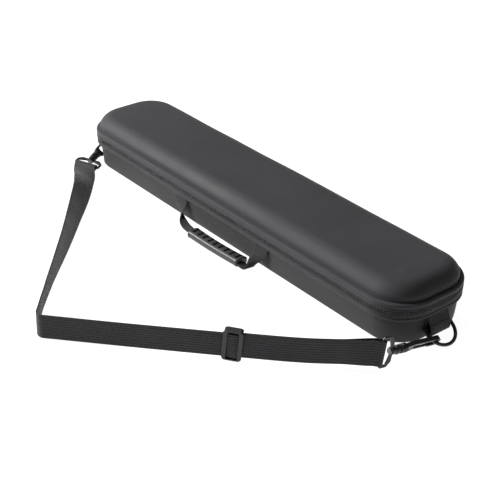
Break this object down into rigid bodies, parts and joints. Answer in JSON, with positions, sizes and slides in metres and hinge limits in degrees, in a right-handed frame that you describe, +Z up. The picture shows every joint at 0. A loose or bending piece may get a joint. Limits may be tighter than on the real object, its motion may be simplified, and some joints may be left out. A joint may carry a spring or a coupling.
{
  "type": "zipped hard-shell carrying case",
  "caption": "Long rounded hard-shell carrying case with a zipped hinged lid, side carry handle, end D-rings and a clip-on webbing shoulder strap for drawing or other slender items.",
  "frame": {"origin": "centre of the case's flat bottom face", "axes": "+X along the case's length towards the end whose hook lies beside the strap's adjuster, -Y towards the handle side, +Z up through the lid"},
  "size_m": [0.6612, 0.4034, 0.0717],
  "materials": {
    "shell_fabric": "fine woven polyester over moulded foam",
    "lining_fabric": "brushed knit",
    "binding_fabric": "rolled webbing binding",
    "zip_tape": "woven tape",
    "zip_coil": "moulded nylon coil",
    "zip_metal": "black lacquer",
    "handle_webbing": "ribbed nylon webbing",
    "grip_rubber": "soft moulded rubber",
    "black_metal": "satin black",
    "pin_steel": "dark plated",
    "strap_webbing": "ribbed polypropylene webbing",
    "black_plastic": "fine moulded"
  },
  "bodies": {
    "case_base": {"base_shell": "shell_fabric", "base_lining": "lining_fabric", "base_binding": "binding_fabric", "base_zip_tape": "zip_tape", "base_zip_coil": "zip_coil", "rear_hinge_strip": "binding_fabric", "zip_stop_left": "zip_metal", "zip_stop_right": "zip_metal", "handle_anchor_left": "handle_webbing", "handle_anchor_right": "handle_webbing", "ring_tab_left": "handle_webbing", "ring_tab_right": "handle_webbing", "hook_eye_left": "black_metal", "hook_pin_left": "pin_steel", "hook_eye_right": "black_metal", "hook_pin_right": "pin_steel", "strap_front_run": "strap_webbing", "strap_return_layer": "strap_webbing", "strap_rear_run": "strap_webbing", "strap_fold_left": "strap_webbing", "strap_fold_right": "strap_webbing"},
    "lid": {"lid_shell": "shell_fabric", "lid_lining": "lining_fabric", "lid_binding": "binding_fabric", "lid_zip_tape": "zip_tape", "lid_zip_coil": "zip_coil"},
    "slider_front": {"zip_slider_front": "zip_metal"},
    "slider_rear": {"zip_slider_rear": "zip_metal"},
    "pull_front": {"zip_pull_front": "zip_metal"},
    "pull_rear": {"zip_pull_rear": "zip_metal"},
    "handle": {"handle_webbing_left": "handle_webbing", "handle_webbing_right": "handle_webbing", "handle_grip": "grip_rubber"},
    "ring_left": {"d_ring_left": "black_metal"},
    "ring_right": {"d_ring_right": "black_metal"},
    "hook_left": {"hook_body_left": "black_metal", "hook_spring_left": "pin_steel"},
    "hook_right": {"hook_body_right": "black_metal", "hook_spring_right": "pin_steel"},
    "gate_left": {"hook_gate_left": "black_metal"},
    "gate_right": {"hook_gate_right": "black_metal"},
    "adjuster": {"strap_adjuster": "black_plastic"}
  },
  "joints": [
    {"name": "lid_hinge", "type": "hinge", "parent": "case_base", "child": "lid", "pos_m": [0, 0.065, 0.0424], "axis": [-1, 0, 0], "range_deg": [0, 180], "deforming": ["rear_hinge_strip"]},
    {"name": "zip_front", "type": "hinge", "parent": "case_base", "child": "slider_front", "pos_m": [-0.262, -0.016, 0.0424], "axis": [0, 0, 1], "range_deg": [0, 90]},
    {"name": "zip_rear", "type": "hinge", "parent": "case_base", "child": "slider_rear", "pos_m": [-0.262, 0.016, 0.0424], "axis": [0, 0, -1], "range_deg": [0, 50]},
    {"name": "pull_front_swing", "type": "hinge", "parent": "slider_front", "child": "pull_front", "pos_m": [-0.31415, -0.016, 0.0424], "axis": [0, 1, 0], "range_deg": [0, 150]},
    {"name": "pull_rear_swing", "type": "hinge", "parent": "slider_rear", "child": "pull_rear", "pos_m": [-0.31415, 0.016, 0.0424], "axis": [0, 1, 0], "range_deg": [0, 150]},
    {"name": "handle_swing", "type": "hinge", "parent": "case_base", "child": "handle", "pos_m": [0, -0.06, 0.03], "axis": [-1, 0, 0], "range_deg": [0, 110]},
    {"name": "ring_right_swing", "type": "hinge", "parent": "case_base", "child": "ring_right", "pos_m": [0.3089, -0.002, 0.0156], "axis": [-0.0731, -0.9962, 0.0475], "range_deg": [-0.8, 1.6]},
    {"name": "ring_left_swing", "type": "hinge", "parent": "case_base", "child": "ring_left", "pos_m": [-0.3089, -0.002, 0.0156], "axis": [-0.0731, 0.9962, -0.0475], "range_deg": [-0.4, 0.5]},
    {"name": "hook_right_swivel", "type": "hinge", "parent": "case_base", "child": "hook_right", "pos_m": [0.31537, -0.06695, 0.0167], "axis": [0.0831, 0.983, -0.164], "range_deg": [-14, 14]},
    {"name": "hook_left_swivel", "type": "hinge", "parent": "case_base", "child": "hook_left", "pos_m": [-0.29139, -0.06132, 0.00749], "axis": [-0.5323, 0.8445, 0.0586], "range_deg": [-0.5, 3.5]},
    {"name": "gate_right_hinge", "type": "hinge", "parent": "hook_right", "child": "gate_right", "pos_m": [0.31473, -0.05297, 0.01113], "axis": [0.861, -0.1536, -0.4848], "range_deg": [0, 13], "stiffness_Nm_per_rad": 0.01, "springref_deg": -5.73},
    {"name": "gate_left_hinge", "type": "hinge", "parent": "hook_left", "child": "gate_left", "pos_m": [-0.29697, -0.04743, 0.0058], "axis": [0.6062, 0.3319, 0.7227], "range_deg": [0, 13], "stiffness_Nm_per_rad": 0.01, "springref_deg": -5.73},
    {"name": "adjuster_slide", "type": "slide", "parent": "case_base", "child": "adjuster", "axis": [-0.7457, -0.6663, 0], "range_m": [-0.012, 0.004]}
  ]
}
